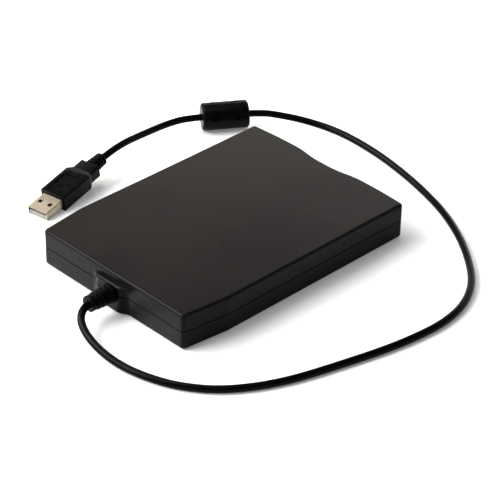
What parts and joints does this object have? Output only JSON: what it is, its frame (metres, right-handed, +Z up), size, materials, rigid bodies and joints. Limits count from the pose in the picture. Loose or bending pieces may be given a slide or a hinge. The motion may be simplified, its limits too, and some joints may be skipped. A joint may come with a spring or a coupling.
{
  "type": "external floppy disk drive",
  "caption": "Slim external drive for 3.5 inch floppy disks, with a wavy front edge and a fixed USB cord with a ferrite core.",
  "frame": {"origin": "under the middle of the drive's case, on the table", "axes": "+Z up, the disk slot faces -Y, the cord leaves towards +Y, +X is right seen from the front"},
  "size_m": [0.2154, 0.2234, 0.0192],
  "materials": {
    "case_plastic": "fine textured",
    "bezel_plastic": "fine textured",
    "button_plastic": "satin",
    "rubber": "matte",
    "screw_steel": "black oxide",
    "zinc_sheet": "zinc plated",
    "spring_steel": "bright drawn wire",
    "turned_steel": "turned and polished",
    "clear_plastic": "clear polished",
    "light_body": "tinted",
    "board": "lacquered",
    "chip": "moulded",
    "copper_wire": "enamelled copper",
    "bronze": "sintered",
    "ferrite": "fired",
    "hub_magnet": "bonded magnet",
    "carriage_plastic": "glass filled",
    "nut_plastic": "natural",
    "head_ceramic": "lapped",
    "switch_plastic": "moulded",
    "connector_plastic": "natural",
    "ribbon": "film",
    "can_metal": "drawn can",
    "cord_vinyl": "satin",
    "wire_vinyl": "satin",
    "plug_vinyl": "satin",
    "nickel": "nickel plated",
    "plug_insulator": "natural",
    "gold": "gold flashed"
  },
  "bodies": {
    "case": {"upper_shell": "case_plastic", "lower_shell": "case_plastic", "rubber_feet": "rubber", "case_screws": "screw_steel", "front_bezel": "bezel_plastic", "door_spring": "spring_steel", "light_guide": "clear_plastic", "activity_light": "light_body", "chassis": "zinc_sheet", "top_cover": "zinc_sheet", "cover_screws": "screw_steel", "slide_springs": "spring_steel", "motor_board": "board", "motor_coils": "copper_wire", "spindle_bearing": "bronze", "guide_rod": "turned_steel", "rod_clamps": "carriage_plastic", "stepper_bracket": "zinc_sheet", "stepper_motor": "can_metal", "main_board": "board", "main_board_chips": "chip", "track_zero_sensor": "switch_plastic", "switch_blocks": "switch_plastic", "ribbon_connectors": "connector_plastic", "ribbon_cable": "ribbon", "bridge_board": "board", "bridge_controller": "chip", "bridge_small_parts": "can_metal", "cable_header": "connector_plastic", "cable_wires": "wire_vinyl", "strain_relief": "plug_vinyl", "cord": "cord_vinyl", "core_cover": "plug_vinyl", "ferrite_core": "ferrite", "plug_shell": "nickel", "plug_tongue": "plug_insulator", "plug_contacts": "gold", "plug_body": "plug_vinyl"},
    "slot_door": {"slot_door": "bezel_plastic"},
    "eject_slide": {"eject_slide": "zinc_sheet", "eject_button": "button_plastic"},
    "disk_holder": {"disk_holder": "zinc_sheet", "holder_pins": "turned_steel", "lever_rivet": "turned_steel"},
    "latch_lever": {"latch_lever": "zinc_sheet"},
    "spindle": {"spindle_rotor": "zinc_sheet", "rotor_magnet": "ferrite", "hub_ring": "hub_magnet", "drive_pin": "turned_steel", "spindle_shaft": "turned_steel"},
    "carriage": {"head_carriage": "carriage_plastic", "lower_head": "head_ceramic", "lead_nut": "nut_plastic"},
    "head_arm": {"upper_head_arm": "zinc_sheet", "upper_head": "head_ceramic", "head_springs": "spring_steel"},
    "lead_screw": {"lead_screw": "turned_steel"},
    "disk_in_plunger": {"disk_in_plunger": "nut_plastic"},
    "write_protect_plunger": {"write_protect_plunger": "nut_plastic"},
    "density_plunger": {"density_plunger": "nut_plastic"}
  },
  "joints": [
    {"name": "door_hinge", "type": "hinge", "parent": "case", "child": "slot_door", "pos_m": [0, -0.0688, 0.0148], "axis": [1, 0, 0], "range_deg": [0, 85], "stiffness_Nm_per_rad": 0.0002, "springref_deg": -17.19},
    {"name": "eject_travel", "type": "slide", "parent": "case", "child": "eject_slide", "axis": [0, -1, 0], "range_m": [0, 0.005]},
    {"name": "holder_drop", "type": "slide", "parent": "case", "child": "disk_holder", "axis": [0, 0, -1], "range_m": [0, 0.0019]},
    {"name": "lever_swing", "type": "hinge", "parent": "disk_holder", "child": "latch_lever", "pos_m": [0.04, 0.024, 0.0145], "axis": [0, 0, -1], "range_deg": [0, 36.5], "stiffness_Nm_per_rad": 0.0002, "springref_deg": -22.92},
    {"name": "spindle_spin", "type": "hinge", "parent": "case", "child": "spindle", "pos_m": [0, -0.02, 0.008], "axis": [0, 0, 1], "continuous": true},
    {"name": "screw_turn", "type": "hinge", "parent": "case", "child": "lead_screw", "pos_m": [0.017, 0.038, 0.0091], "axis": [0, 1, 0], "range_deg": [0, 1440]},
    {"name": "carriage_travel", "type": "slide", "parent": "case", "child": "carriage", "axis": [0, -1, 0], "range_m": [0, 0.01482]},
    {"name": "arm_hinge", "type": "hinge", "parent": "carriage", "child": "head_arm", "pos_m": [0, 0.0465, 0.0139], "axis": [1, 0, 0], "range_deg": [0, 7.3]},
    {"name": "disk_in_plunger_press", "type": "slide", "parent": "case", "child": "disk_in_plunger", "axis": [0, 0, -1], "range_m": [0, 0.0009], "stiffness_N_per_m": 1, "springref_m": -0.0005},
    {"name": "write_protect_plunger_press", "type": "slide", "parent": "case", "child": "write_protect_plunger", "axis": [0, 0, -1], "range_m": [0, 0.0009], "stiffness_N_per_m": 1, "springref_m": -0.0005},
    {"name": "density_plunger_press", "type": "slide", "parent": "case", "child": "density_plunger", "axis": [0, 0, -1], "range_m": [0, 0.0009], "stiffness_N_per_m": 1, "springref_m": -0.0005}
  ],
  "couplings": [
    {"joint": "holder_drop", "follows": "eject_travel", "ratio": 0.38},
    {"joint": "arm_hinge", "follows": "eject_travel", "rad_per_m": 25.4},
    {"joint": "screw_turn", "follows": "carriage_travel", "rad_per_m": 1675.5}
  ]
}
